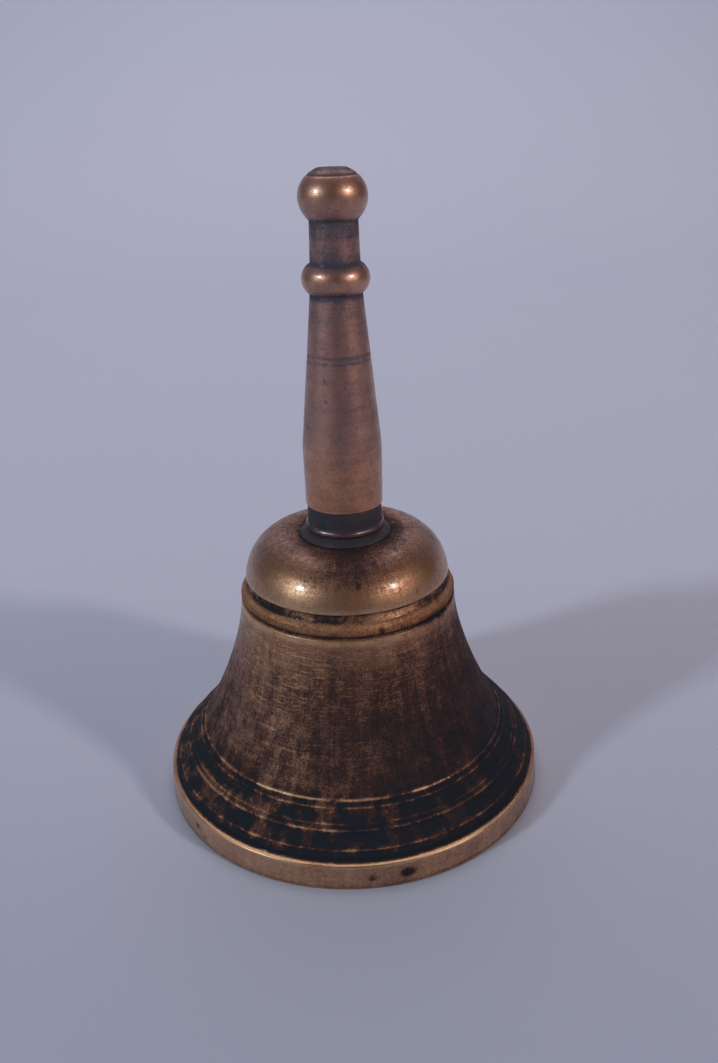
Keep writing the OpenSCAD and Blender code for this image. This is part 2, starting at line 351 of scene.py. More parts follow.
def backdrop_paper():
    """Pale blue paper, with painted shade: a little darker near the front edge and high up on the
    curve.
    """
    g = Graph("backdrop_paper")
    pos, (_, depth, height), _ = g.place()
    fibre = g.noise(pos, 0.8, 4, 0.6)
    cloudy = g.add(g.mul(g.noise(pos, 0.004, 2, 0.5), 0.6), g.mul(fibre, 0.2))
    colour = g.mix(cloudy, (0.575, 0.590, 0.735), (0.615, 0.630, 0.780))
    # painted shade: darker towards the front edge and high up the curve
    colour = g.tone(colour, g.fit(depth, -90.0, 110.0, 1.0, 0.0), (0.80, 0.82, 0.845))
    colour = g.tone(colour, g.fit(height, 20.0, 500.0), (0.80, 0.83, 0.85))
    return g.finish(colour, 0.0, 0.85, g.bump(fibre, 0.00003, 0.3), specular=0.15)


# ---- shared shapes and profiles

def span(node):
    """Lowest and highest corner of a CAD node."""
    low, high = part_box(node)
    return [v / MM for v in low], [v / MM for v in high]


def steps_along(points):
    """Distance along a polyline at each of its points."""
    lengths = np.linalg.norm(np.diff(points, axis=0), axis=1)
    return np.concatenate([[0], np.cumsum(lengths)])


def resample(points, fine, coarse, busy):
    """Points spread along a polyline, closer together where busy(radius, height) is true."""
    p = np.asarray(points, float)
    out = [p[0]]
    for a, b in zip(p[:-1], p[1:]):
        step = fine if busy(*((a + b) / 2)) else coarse
        count = max(1, int(math.ceil(np.linalg.norm(b - a) / step)))
        out.extend(a + (b - a) * k / count for k in range(1, count + 1))
    return np.array(out)


def bezier(a, b, c, d, count):
    """Points on a cubic curve from a to d, pulled towards b and c."""
    a, b, c, d = (np.asarray(q, float) for q in (a, b, c, d))
    t = np.linspace(0, 1, count)[:, None]
    s = 1 - t
    return s ** 3 * a + 3 * s * s * t * b + 3 * s * t * t * c + t ** 3 * d


def oval(centre, half, start, end, count):
    """Points on an ellipse between two angles in degrees."""
    a = np.radians(np.linspace(start, end, count))
    return np.column_stack([centre[0] + half[0] * np.cos(a), centre[1] + half[1] * np.sin(a)])


def wrapped(angle):
    """The same angle between -180 and 180 degrees, in radians."""
    return (angle + np.pi) % (2 * np.pi) - np.pi


def read(where, table):
    """Value from a table of (place, value) pairs, with straight lines between them."""
    return np.interp(where, *zip(*table))


def read_round(angle, table):
    """The same for an angle: the table meets itself behind the piece."""
    return np.interp(angle, *zip(*table), period=2 * np.pi)


def bead(z, centre, half, height):
    """Half round of the given half width and height."""
    q = 1 - ((z - centre) / half) ** 2
    return height * np.sqrt(np.clip(q, 0, 1))


def hump(value, centre, half):
    """Soft peak of 1 at the centre, down to about a third at half the width."""
    return np.exp(-((value - centre) / half) ** 2)


def most(first, *others):
    """The largest of the values, place by place."""
    for value in others:
        first = np.maximum(first, value)
    return first


def ripples(seed, count, fastest):
    """Smooth unevenness of about unit size, as a function of angle and distance along."""
    rng = np.random.RandomState(seed)
    turns = rng.randint(1, fastest + 1, count)
    rate = rng.uniform(-0.6, 0.6, count)
    phase = rng.uniform(0, 2 * np.pi, count)

    def value(angle, along):
        total = np.zeros_like(angle)
        for k, w, f in zip(turns, rate, phase):
            total += np.cos(k * angle + w * along + f)
        return total / math.sqrt(count)
    return value


def dents(spots):
    """Shallow hollows: each spot is (angle, along, half width, half height, depth)."""
    def value(angle, along, radius):
        total = np.zeros_like(angle)
        for a0, s0, w, h, depth in spots:
            q = (wrapped(angle - a0) * radius / w) ** 2 + ((along - s0) / h) ** 2
            total -= depth * np.exp(-q * 1.4)
        return total
    return value


# ---- meshes

def shade_smooth(mesh):
    mesh.polygons.foreach_set("use_smooth", np.ones(len(mesh.polygons), bool))


def mesh_object(name, verts, faces, material, attributes=None):
    """One closed piece. Faces are turned so that they look outwards."""
    verts = np.asarray(verts, float)
    a = verts[[f[0] for f in faces]]
    volume = 0.0
    for k in range(1, 3):
        rows = [i for i, f in enumerate(faces) if len(f) > k + 1]
        if rows:
            b = verts[[faces[i][k] for i in rows]]
            c = verts[[faces[i][k + 1] for i in rows]]
            volume += np.einsum("ij,ij->i", a[rows], np.cross(b, c)).sum()
    if volume < 0:
        faces = [tuple(reversed(f)) for f in faces]
    mesh = bpy.data.meshes.new(name)
    mesh.from_pydata((verts * MM).tolist(), [], faces)
    shade_smooth(mesh)
    for key, values in (attributes or {}).items():
        layer = mesh.attributes.new(key, "FLOAT", "POINT")
        layer.data.foreach_set("value", np.asarray(values, np.float32))
    mesh.materials.append(material)
    mesh.update()
    return add_object(name, mesh)


def lathe(name, outline, segments, material, raise_by=None, marks=None):
    """Turn a closed outline of (radius, height) pairs round the upright axis.

    raise_by(angle, along, radius, height) is how far each point stands out along its normal.
    marks takes the same and returns a dict of surface attributes, those left out being 0:
    wear (0 to 1 on edges), hollow (0 to 1 in grooves), tint (how dark the place is on the
    whole, painted shade included), smear (how far the dark skin is broken into blotches and
    upright smears), gold (how yellow the metal is), matt (how dull) and rubbed (how much it is
    scratched bright along the turning). The mesh also carries along, the distance along the
    outline.
    """
    p = np.asarray(outline, float)
    n = len(p)
    t = np.roll(p, -1, 0) - np.roll(p, 1, 0)
    t /= np.maximum(np.linalg.norm(t, axis=1), 1e-9)[:, None]
    normal = np.column_stack([t[:, 1], -t[:, 0]])
    area = 0.5 * np.sum(p[:, 0] * np.roll(p[:, 1], -1) - np.roll(p[:, 0], -1) * p[:, 1])
    if area < 0:
        normal = -normal
    ang = np.arange(segments) * 2 * np.pi / segments
    A, S = np.meshgrid(ang, steps_along(p))
    r0 = np.repeat(p[:, :1], segments, 1)
    z0 = np.repeat(p[:, 1:], segments, 1)
    d = np.zeros_like(A) if raise_by is None else raise_by(A, S, r0, z0)
    d = d * np.clip(r0 / 0.8, 0, 1)  # points close to the axis stay where they are
    R = r0 + normal[:, :1] * d
    Z = z0 + normal[:, 1:] * d
    flat = np.zeros_like(A)
    look = {key: flat for key in ATTRIBUTES}
    look.update({key: value + flat for key, value in marks(A, S, r0, z0).items()}, along=S)
    verts, ids = [], []
    keep = {key: [] for key in look}
    for i in range(n):
        if p[i, 0] < ON_AXIS:
            ids.append([len(verts)] * segments)
            verts.append((0, 0, Z[i, 0]))
            used = slice(0, 1)
        else:
            ids.append(list(range(len(verts), len(verts) + segments)))
            verts.extend(zip(R[i] * np.sin(ang), -R[i] * np.cos(ang), Z[i]))
            used = slice(None)
        for key, value in look.items():
            keep[key].extend(value[i, used])
    return mesh_object(name, verts, ring_faces(ids + ids[:1]), material, keep)


def ring_faces(rings):
    """Faces between rings of vertex numbers. A ring on the axis is one number repeated."""
    faces = []
    for a, b in zip(rings[:-1], rings[1:]):
        for j in range(len(a)):
            k = (j + 1) % len(a)
            face = tuple(dict.fromkeys((a[j], a[k], b[k], b[j])))
            if len(face) > 2:
                faces.append(face)
    return faces


# ---- bell

def make_bell(material):
    """The cast and turned bell, with the wires, grooves, knocks and wear of its outside."""
    _, (mouth, _, top) = span("bell_shell")
    collar_r = span("crown_collar")[1][0]
    crown_hole, rim_edge, band_h = 2.75, 0.3, 5.1
    waist_wall, lip_wall, crown_wall = 2.4, 3.4, 3.2
    waist, waist_z = 20.7, top - 11.2
    shoulder, shoulder_z = waist - 1.0, top - 9.4
    crown_flat = 12.2
    lip_low = np.array([mouth - 1.5, band_h + 1.0])
    lip_top = np.array([mouth - 7.9, 13.4])
    lip_dir = unit(lip_top - lip_low)
    lip_in = np.array([-lip_dir[1], lip_dir[0]]) * lip_wall
    flare_low, flare_high = [-2.0, 3.1], 10.8
    outside = np.vstack([
        [(mouth - rim_edge, 0), (mouth - 0.02, rim_edge), (mouth - 0.36, band_h - 0.30),
         (mouth - 0.40, band_h - 0.16), (mouth - 0.50, band_h - 0.05), (mouth - 0.66, band_h),
         (mouth - 1.15, band_h + 0.12), (mouth - 1.40, band_h + 0.42)],
        [lip_low],
        bezier(lip_top, lip_top + flare_low, (waist, waist_z - flare_high), (waist, waist_z), 40),
        oval((crown_flat, shoulder_z), (shoulder - crown_flat, top - shoulder_z), 0, 90, 30),
        [(collar_r - 0.4, top), (crown_hole, top)]])
    waist_in = waist - waist_wall
    inside = np.vstack([
        [(crown_hole, top - crown_wall)],
        oval((crown_flat, shoulder_z),
             (shoulder - waist_wall - crown_flat, top - crown_wall - shoulder_z), 90, 0, 24),
        bezier((waist_in, waist_z), (waist_in, waist_z - flare_high),
               lip_top + lip_in + flare_low, lip_top + lip_in, 30),
        [lip_low + lip_in, (mouth - 3.0, rim_edge), (mouth - 2.7, 0), (mouth - rim_edge, 0)]])

    # raised wires round the lip, as (height on the bell, half width, rise), the top one first
    wires = [(13.4, 0.30, 0.27), (12.4, 0.24, 0.18), (10.3, 0.22, 0.16), (9.5, 0.28, 0.25),
             (7.0, 0.24, 0.20)]
    top_wire = wires[0]
    groove_top, groove_h, groove_deep = top - 7.85, 1.75, 0.5
    fine_groove, fine_half, fine_deep = top - 12.0, 0.42, 0.38

    def busy(r, z):
        """The edges of the rim band, the wires and the two grooves need a fine mesh."""
        return (z < 0.6 or abs(z - band_h) < 0.7
                or any(abs(z - at) < half + 0.12 for at, half, _ in wires)
                or groove_top - groove_h - 0.3 < z < groove_top + 0.2
                or abs(z - fine_groove) < 0.7)

    # short pieces first, so that each is judged busy or not where it lies
    cut = [outside[:1]]
    for a, b in zip(outside[:-1], outside[1:]):
        count = max(2, int(np.linalg.norm(b - a) / 0.5) + 2)
        cut.append(bezier(a, a + (b - a) / 3, a + (b - a) * 2 / 3, b, count)[1:])
    out = resample(np.vstack(cut), 0.14, 0.55, busy)
    n_out = len(out)
    outline = np.vstack([out, resample(inside, 1.3, 1.3, lambda r, z: False)[:-1]])
    length = steps_along(outline)
    out_end = length[n_out - 1] + ON_AXIS

    def s_of_z(z):
        """Distance along the outside at a height."""
        return float(np.interp(z, out[:, 1], length[:n_out]))

    # dark pits on the rim band, knocks on the band, the lip and the shoulder, and a few nicks
    rng = np.random.RandomState(11)
    pits = [(0.06, 2.55, 0.75, 0.55, 0.16), (0.237, 2.7, 1.25, 0.85, 0.22),
            (-0.93, 3.0, 0.7, 0.6, 0.15), (-0.86, 1.7, 0.5, 0.4, 0.10),
            (1.95, 2.2, 0.8, 0.6, 0.16), (-2.4, 3.3, 0.9, 0.6, 0.16)]
    knocks = []
    for _ in range(46):
        s = rng.choice([s_of_z(5.0), rng.uniform(0.5, 5), rng.uniform(6, 14), rng.uniform(46, 66)])
        knocks.append((rng.uniform(-np.pi, np.pi), s, rng.uniform(0.5, 1.6),
                       rng.uniform(0.3, 0.9), rng.uniform(0.03, 0.10)))
    nicks = [(-0.34, s_of_z(49.9), 0.7, 0.25, 0.04), (0.10, s_of_z(50.0), 0.30, 0.8, 0.07),
             (0.28, s_of_z(42.0), 0.3, 0.9, 0.15), (0.70, s_of_z(46.8), 0.6, 0.5, 0.06)]
    hollow_out = dents(pits + knocks + nicks)
    pitted = dents(pits + nicks)
    cast, worn, inner_rough = ripples(3, 14, 9), ripples(5, 22, 40), ripples(8, 30, 30)
    uneven_wear = ripples(17, 24, 16)

    def raise_by(angle, along, radius, z):
        o = along < out_end
        d = np.where(o, 0.018 * cast(angle, along) + hollow_out(angle, along, radius),
                     0.03 * inner_rough(angle, along))
        left_standing = np.clip(0.85 + 0.28 * worn(angle, along), 0.25, 1.1)
        for at, half, rise in wires:
            d = d + np.where(o, bead(z, at, half, rise) * left_standing, 0)
        wide = read(groove_top - z, [(-0.06, 0), (0.10, 0.30), (0.30, groove_deep), (0.9, 0.36),
                                     (groove_h - 0.25, 0.10), (groove_h + 0.05, 0)])
        grooves = wide + bead(z, fine_groove, fine_half, fine_deep)
        d = d - np.where(o, grooves, 0)
        # nothing stands out past the rim's widest place or below the table
        d = np.where(radius > mouth - 0.45, np.minimum(d, 0.0), d)
        return np.where(z < 0.32, np.minimum(d, 0), d) * np.where(z < 0.05, 0, 1)

    def marks(angle, along, r, z):
        o = along <= out_end
        turn = wrapped(angle)
        patch = uneven_wear(angle, along * 0.25)

        on_wires = []
        for wire in wires:
            at, half, rise = wire
            strength = 1.05 if wire is top_wire else min(1, rise / 0.2) * 0.78
            fade = read(np.abs(turn), [(0.45, 1.0), (1.0, 0.55 if wire is top_wire else 0.8)])
            on_wires.append(hump(z, at, half * 0.8) * strength * fade)
        band_edge = hump(along, s_of_z(band_h - 0.1), 0.36) * (0.75 + 0.25 * patch)
        band_edge = band_edge * read_round(turn, [
            (-2.6, 0.7), (-1.7, 0.3), (-1.3, 0.3), (-0.9, 1), (0.9, 1), (1.3, 0.3), (1.7, 0.3),
            (2.6, 0.7)])
        under_fine = 0.65 * hump(z, fine_groove - 1.0, 0.6) * read_round(turn, [
            (-2.5, 0.5), (-1.5, 1), (0.6, 1), (0.85, 0), (2.2, 0.2)])
        wear = most(np.zeros_like(z), *on_wires, band_edge,
                    0.30 * hump(z, groove_top + 0.35, 0.35),
                    0.35 * hump(z, groove_top - groove_h - 0.6, 0.6),
                    under_fine, 0.5 * hump(z, 0.2, 0.3))

        # the wide groove keeps its dirt in front and to the left, and only along its top elsewhere
        full = np.clip(0.5 + 6 * np.maximum(0.13 - turn, turn - 0.72), 0, 1)
        behind = read(np.abs(turn), [(1.2, 0), (1.9, 1)])
        full = full * (1 - behind) + np.clip(0.6 + patch, 0, 1) * behind
        drop = groove_top - z
        filled = read(drop, [(-0.1, 0), (0.1, 1), (groove_h - 0.35, 1), (groove_h + 0.05, 0)])
        wide = np.maximum(0.66 * hump(drop, 0.22, 0.20), 0.52 * filled * full)
        heavy = read_round(turn, [(-1.5, 0.55), (0.19, 0.55), (0.57, 1.0), (1.5, 1.0), (2.8, 0.6)])
        beside = 0.8 * read(turn, [(0.5, 0), (1.0, 1), (1.3, 1), (1.7, 0)])
        in_pits = np.clip(-7.0 * pitted(angle, along, r), 0, 0.85) * o
        hollow = most(np.zeros_like(z), wide, heavy * hump(z, fine_groove, 0.34),
                      beside * hump(z, fine_groove - 0.2, 0.75),
                      hump(along, s_of_z(band_h + 0.55), 0.48),
                      0.5 * hump(r, collar_r, 0.5) * (z > top - 1),
                      0.35 * hump(along, s_of_z(0.35), 0.5), in_pits)

        # how dark each height is, made darker up the crown towards the collar as painted shade,
        # with painted shade on the crown's front, the dirt and painted shadow round the collar and
        # the darker right side of the waist on top of it
        tint = read(z, [
            (0, 0.22), (5.1, 0.20), (5.5, 0.88), (6.4, 0.92), (12.8, 0.92), (13.6, 0.75),
            (15, 0.70), (19, 0.67), (27, 0.64), (34, 0.51), (38, 0.39), (40.4, 0.32),
            (41.6, 0.47), (43.4, 0.46), (45.4, 0.25), (48.4, 0.24), (51, 0.38), (53.1, 0.47)])
        # painted shade: the crown's front is darkened just under the collar
        tint = tint + 0.26 * hump(turn, 0.03, 0.36) * read(z, [(48, 0), (50, 1)])
        # dirt and painted shadow round the collar: broad, and heaviest to the right, where the
        # collar's shadow falls
        collar_dirt_and_shadow = hump(r, collar_r + 1.2, 1.5) * (z > top - 3)
        tint = tint + collar_dirt_and_shadow * read_round(turn, [(-1.5, 0.08), (0, 0.14), (1.5, 0.24),
                                                    (3.0, 0.16)])
        right = read_round(turn, [(-2.4, -0.1), (-1.2, -0.4), (-0.6, -0.5), (-0.1, 0), (0.9, 1),
                                  (1.5, 1), (2.4, 0.3)])
        waist_here = read(z, [(5.6, 0.10), (13, 0.12), (20, 0.18), (36, 0.19), (40, 0.05),
                              (41.4, 0)])
        tint = tint + right * waist_here + 0.03 * patch

        smear = read(z, [(5.2, 0.05), (5.8, 0.50), (12.8, 0.46), (14.5, 0.16), (24, 0.10),
                         (36, 0.07), (40, 0.02)])
        smear = smear * read_round(turn, [(-1.4, 1.05), (-0.8, 1.1), (-0.1, 0.95), (0.5, 0.75),
                                          (1.4, 0.65), (2.6, 0.85)])
        matt = 0.5 * collar_dirt_and_shadow + read(z, [
            (5.4, 0.1), (6, 1.1), (13, 0.9), (16, 0.5), (38, 0.3), (40.9, 0.5), (41.3, 1.3),
            (43.4, 1.3), (43.8, 0.15)])
        rubbed = read(z, [(16, 0.1), (24, 0.4), (34, 1.0), (39, 0.8), (40.5, 0.3), (43, 0.5),
                          (44, 0.1)])
        rubbed = rubbed * read_round(turn, [(-2.2, 0.9), (-0.67, 1.3), (0, 0.9), (0.7, 0.48),
                                            (1.5, 0.2), (2.5, 0.6)])
        gold = read(z, [(0, 0.62), (5.2, 0.62), (6, 0.3), (12, 0.3), (14, 0.35), (22, 0.30),
                        (32, 0.50), (39, 0.75), (50, 0.50), (53.1, 0.2)])
        gold = gold - 0.15 * right * read(z, [(11, 0), (14, 1), (36, 1), (40, 0)])
        # the inside is dull and even, a little brighter where the clapper strikes
        inner_tint = 0.62 - 0.16 * hump(z, 4.0, 3.5) + 0.05 * patch
        outer_and_inner = {"wear": (wear, 0.0), "hollow": (hollow, 0.15),
                           "tint": (tint, inner_tint), "smear": (smear, 0.10),
                           "gold": (gold, 0.5), "matt": (matt, 0.8), "rubbed": (rubbed, 0.35)}
        return {key: np.where(o, *pair) for key, pair in outer_and_inner.items()}

    return lathe("bell_casting", outline, 304, material, raise_by, marks)


# ---- handle and collar

def make_handle(material):
    """One turned piece: grip, ring, neck and a ball with a scribed cap, bored for the staple."""
    (_, _, foot), (_, _, top) = span("handle")
    grip, grip_top, neck, ring, bore = 7.2, 4.6, 4.15, 5.95, 2.5
    ball, ball_low_half, ball_top_half, flat = 5.9, 5.3, 4.9, 2.5
    ring_h, neck_l = 5.0, 7.0
    ring_z = foot + 38.6
    neck_z = ring_z + ring_h
    neck_top = neck_z + neck_l
    ball_z = neck_top + ball_low_half * math.sqrt(1 - (neck / ball) ** 2)
    ring_rise = ring - grip_top
    ring_arc = ((ring_h / 2) ** 2 + ring_rise ** 2) / (2 * ring_rise)
    ring_half = math.degrees(math.asin(ring_h / 2 / ring_arc))
    cap_z = ball_z + ball_top_half * math.sin(math.radians(44.0))
    from_neck, to_flat = -math.degrees(math.acos(neck / ball)), math.degrees(math.acos(flat / ball))
    body = np.vstack([
        [(bore, foot), (grip - 0.30, foot), (grip - 0.12, foot + 0.07), (grip - 0.02, foot + 0.24),
         (grip, foot + 0.45)],
        bezier((grip + 0.08, foot + 10.3), (grip + 0.08, foot + 11.3), (grip + 0.04, foot + 12.1),
               (grip - 0.12, foot + 13.4), 14),
        [(grip_top + 0.10, ring_z - 0.9), (grip_top + 0.02, ring_z - 0.15)],
        oval((ring - ring_arc, ring_z + ring_h / 2), (ring_arc, ring_arc),
             1 - ring_half, ring_half - 1, 28),
        [(neck + 0.28, neck_z - 0.02), (neck + 0.20, neck_z + 0.1), (neck + 0.02, neck_top - 0.1)],
        oval((0, ball_z), (ball, ball_low_half), from_neck, 0, 24)[:-1],
        oval((0, ball_z), (ball, ball_top_half), 0, to_flat, 30),
        [(flat - 0.25, top), (flat - 0.9, top - 0.05), (flat - 1.1, top - 0.10),
         (flat - 1.4, top - 0.04), (0.55, top - 0.05), (0.3, top - 0.28), (0, top - 0.45)]])
    hole = np.array([(0, foot + 17.5), (bore, foot + 16.0), (bore, foot + 0.01)])
    scribes = ((foot + 28.4, 0.13), (foot + 27.3, 0.06))  # height and depth

    def busy(r, z):
        """The foot, the ring, both ends of the neck, the scribed lines and the flat top."""
        return (z < foot + 0.6 or abs(z - ring_z) < 0.8 or abs(z - neck_z) < 0.8
                or abs(z - neck_z - neck_l) < 0.7 or any(abs(z - at) < 0.5 for at, _ in scribes)
                or abs(z - cap_z) < 0.5 or z > top - 0.7)

    out = resample(body, 0.11, 0.5, busy)
    n_out = len(out)
    outline = np.vstack([out, hole])
    length = steps_along(outline)
    rng = np.random.RandomState(23)
    knocks = []
    for _ in range(34):
        s = rng.uniform(5, 62)
        knocks.append((rng.uniform(-np.pi, np.pi), s, rng.uniform(0.25, 0.8),
                       rng.uniform(0.25, 0.7), rng.uniform(0.02, 0.06)))
    nicks = ((0.66, foot + 1.9, 0.5, 0.35, 0.14), (-0.25, foot + 0.6, 0.5, 0.3, 0.08),
             (0.25, ball_z - 1.2, 0.7, 0.4, 0.07), (-0.1, top - 0.3, 0.5, 0.4, 0.12),
             (0.9, top - 0.5, 0.6, 0.4, 0.10))
    nicks = [(a, float(np.interp(z, out[:, 1], length[:n_out])), w, h, deep)
             for a, z, w, h, deep in nicks]
    knocked, uneven = dents(knocks + nicks), ripples(31, 16, 7)

    def raise_by(angle, along, radius, z):
        o = along < length[n_out - 1] - 0.01
        d = np.where(o, 0.012 * uneven(angle, along) + knocked(angle, along, radius), 0)
        for at, deep in scribes:
            d = d - np.where(o, deep * hump(z, at, 0.13), 0)
        # the scribed line round the ball's cap, with a burr under it
        cap = (0.02 * hump(z, cap_z - 0.38, 0.20) - 0.09 * hump(z, cap_z, 0.15)
               - 0.03 * hump(z, cap_z + 0.7, 0.2))
        d = d + np.where(o & (radius > bore + 0.1), cap, 0)
        d = np.where((z < foot + 0.05) | (z > top - 0.6), np.minimum(d, 0), d)
        return np.where(z < foot + 0.02, 0, d)

    def marks(angle, along, r, z):
        o = along <= length[n_out - 1] + ON_AXIS
        h = z - foot
        wear = most(0.65 * hump(h, 0.15, 0.25), 0.30 * hump(z, ring_z + ring_h * 0.42, 1.5),
                    0.22 * hump(z, ball_z - 0.5, 3.0), 0.45 * hump(z, cap_z - 0.38, 0.25))
        hollow = most(0.30 * hump(z, ring_z - 0.2, 0.35), 0.30 * hump(z, neck_z + 0.2, 0.4),
                      0.34 * hump(z, neck_top - 0.1, 0.5), 0.32 * hump(z, cap_z, 0.14),
                      0.40 * hump(z, scribes[0][0], 0.15), 0.22 * hump(z, scribes[1][0], 0.13),
                      0.22 * hump(z, top - 0.1, 0.30))
        # painted sheen: the grip's left side is made lighter where the left lamp's reflection lies
        painted_left_sheen = -0.07 * hump(wrapped(angle), -0.75, 0.45) * (h < 34)
        # how dark each height is, with painted shade in the dark bands just under and just over the
        # ring and under the ball, and on the ball's cap, which faces up
        tint = painted_left_sheen + read(h, [
            (0, 0.27), (9, 0.30), (12.5, 0.36), (16, 0.39), (26, 0.39), (34, 0.43), (37.0, 0.46),
            (37.9, 0.62), (38.7, 0.63), (39.6, 0.37), (41, 0.29), (42.4, 0.34), (43.5, 0.62),
            (45.0, 0.64), (45.6, 0.50), (47.0, 0.47), (48.2, 0.63), (50.2, 0.66), (51.4, 0.38),
            (53, 0.32), (55.5, 0.34), (57.5, 0.42), (57.9, 0.56), (58.8, 0.58)])
        gold = read(h, [(0, 1), (8, 0.8), (14, 0.1), (38, 0), (41, 0.45), (43, 0), (50, 0),
                        (54, 0.25), (59, 0)])
        return {"wear": np.where(o, wear, 0), "hollow": np.where(o, hollow, 0.2),
                "tint": np.where(o, tint, 0.5), "smear": 0.12, "gold": gold,
                "matt": read(h, [(56.9, 0), (57.6, 0.5)])}

    return lathe("handle_turned", outline, 176, material, raise_by, marks)


def make_collar(material):
    """The dark collar: a small flare, a bead and a plain neck, bored for the staple."""
    (_, _, z0), (foot_r, _, z1) = span("crown_collar")
    plain, bead_r, bead_half, hole = 6.95, 7.45, 0.7, 2.75
    bead_z = z0 + 1.85
    outline = np.vstack([
        [(hole, z0), (foot_r - 0.10, z0), (foot_r - 0.01, z0 + 0.06)],
        bezier((foot_r - 0.04, z0 + 0.16), (foot_r - 0.42, z0 + 0.45),
               (plain + 0.24, bead_z - bead_half - 0.2),
               (plain + 0.06, bead_z - bead_half + 0.04), 12),
        oval((plain, bead_z), (bead_r - plain, bead_half), -72, 78, 18),
        [(plain + 0.02, bead_z + bead_half + 0.03), (plain, bead_z + bead_half + 0.2),
         (plain, z1 - 0.12), (plain - 0.14, z1), (hole, z1)]])
    out = resample(outline, 0.13, 0.5, lambda r, z: r > plain - 0.4)
    uneven = ripples(41, 12, 8)

    def raise_by(angle, along, radius, z):
        d = 0.008 * uneven(angle, along)
        still = (radius < 6.5) | (z < z0 + 0.05) | (radius > foot_r - 0.3) | (z > z1 - 0.05)
        return np.where(still, 0, np.minimum(d, 0.004))

    def marks(angle, along, r, z):
        wear = most(0.80 * hump(z, bead_z + bead_half - 0.20, 0.24) * (r > 7.0),
                    0.40 * hump(z, bead_z, 0.6) * (r > 7.2),
                    0.10 * hump(z, z0 + 0.1, 0.15) * (r > 7.2))
        return {"wear": wear, "hollow": np.where(r < 7.1, 0.12, 0.05), "tint": 0.70,
                "smear": 0.15}

    return lathe("collar_turned", out, 160, material, raise_by, marks)


# ---- clapper train

def torus_part(centre, plane, ring, wire, steps=96, across=28, seam=None):
    """Vertices and faces of a wire ring. plane is "xz" or "yz". seam is the angle of a butt
    joint, where the wire has a fine groove round it."""
    u = np.linspace(0, 2 * np.pi, steps, endpoint=False)
    if seam is not None:
        gap = 0.05 / ring
        near_seam = seam + gap * np.arange(-3, 4)
        u = np.sort(np.concatenate([u, near_seam]) % (2 * np.pi))
    verts = []
    for a in u:
        w = wire
        if seam is not None:
            off = abs(wrapped(a - seam)) * ring
            w = wire * (1 - 0.16 * math.exp(-(off / 0.07) ** 2))
        for b in np.linspace(0, 2 * np.pi, across, endpoint=False):
            q, h = ring + w * math.cos(b), w * math.sin(b)
            side, depth = (q * math.sin(a), h) if plane == "xz" else (h, q * math.sin(a))
            verts.append((centre[0] + side, centre[1] + depth, centre[2] + q * math.cos(a)))
    rings = np.arange(len(verts)).reshape(len(u), across).tolist()
    return verts, [(a, d, c, b) for a, b, c, d in ring_faces(rings + rings[:1])]


def turned_part(outline, segments=48):
    """Vertices and faces of a solid turned from an outline that starts and ends on the axis."""
    verts, rings = [], []
    for r, z in outline:
        if r < ON_AXIS:
            rings.append([len(verts)] * segments)
            verts.append((0, 0, z))
        else:
            rings.append(list(range(len(verts), len(verts) + segments)))
            verts.extend((r * math.cos(a), r * math.sin(a), z)
                         for a in np.linspace(0, 2 * np.pi, segments, endpoint=False))
    return verts, ring_faces(rings)


def fused(name, parts, voxel, material, rounds):
    """Join overlapping solids into one forged-looking skin with soft junctions."""
    verts, faces = [], []
    for v, f in parts:
        n = len(verts)
        verts.extend(v)
        faces.extend(tuple(i + n for i in q) for q in f)
    raw = bpy.data.meshes.new(name + "_raw")
    raw.from_pydata((np.asarray(verts) * MM).tolist(), [], faces)
    raw.update()
    obj = add_object(name, raw)
    skin = obj.modifiers.new("skin", "REMESH")
    skin.mode = "VOXEL"
    skin.voxel_size = voxel * MM
    soft = obj.modifiers.new("soft", "SMOOTH")
    soft.factor = 0.5
    soft.iterations = rounds
    bpy.context.view_layer.update()
    evaluated = obj.evaluated_get(bpy.context.evaluated_depsgraph_get())
    ready = bpy.data.meshes.new_from_object(evaluated)
    obj.modifiers.clear()
    obj.data = ready
    ready.name = name
    shade_smooth(ready)
    ready.materials.clear()
    ready.materials.append(material)
    ready.update()
    bpy.data.meshes.remove(raw)
    return obj


def make_staple(material):
    """Eye stud, forged in one with its eye."""
    low, high = span("clapper_staple")
    shank = (high[1] - low[1]) / 2
    eye_out = (high[0] - low[0]) / 2
    eye_wire = 1.3
    ring = eye_out - eye_wire
    centre = (0, 0, low[2] + eye_out)
    eye = torus_part(centre, "xz", ring, eye_wire + 0.02)
    eye_top = centre[2] + ring
    stud = turned_part([(0, eye_top - 0.6), (shank - 1.0, eye_top - 0.5),
                        (shank - 0.2, eye_top + 0.75), (shank, eye_top + 1.1),
                        (shank, high[2] - 0.6), (shank - 0.6, high[2]), (0, high[2])])
    return fused("staple_forged", [eye, stud], 0.16, material, 5)


def make_rod(material):
    """Clapper rod with its eye, necked down inside the ball and riveted over below it."""
    low, high = span("clapper_rod")
    (_, _, ball_low), (_, _, ball_high) = span("clapper_ball")
    rod, eye_out = (high[1] - low[1]) / 2, (high[0] - low[0]) / 2
    wire, rivet = 0.9, 1.8
    ring = eye_out - wire
    centre = (0, 0, high[2] - eye_out)
    eye = torus_part(centre, "xz", ring, wire + 0.01)
    eye_low = centre[2] - ring
    stem = turned_part([
        (0, eye_low + 0.1), (wire, eye_low), (wire + 0.25, eye_low - 1.2),
        (rod - 0.08, eye_low - 2.8), (rod, eye_low - 3.4), (rod, ball_high + 0.02),
        (rod - 0.4, ball_high - 0.1), (rod - 0.4, ball_low + 0.15), (rivet - 0.1, ball_low - 0.05),
        (rivet, ball_low - 0.3), (rivet - 0.45, low[2] + 0.22), (rivet - 1.1, low[2] + 0.04),
        (0, low[2])], 40)
    return fused("rod_forged", [eye, stem], 0.15, material, 4)


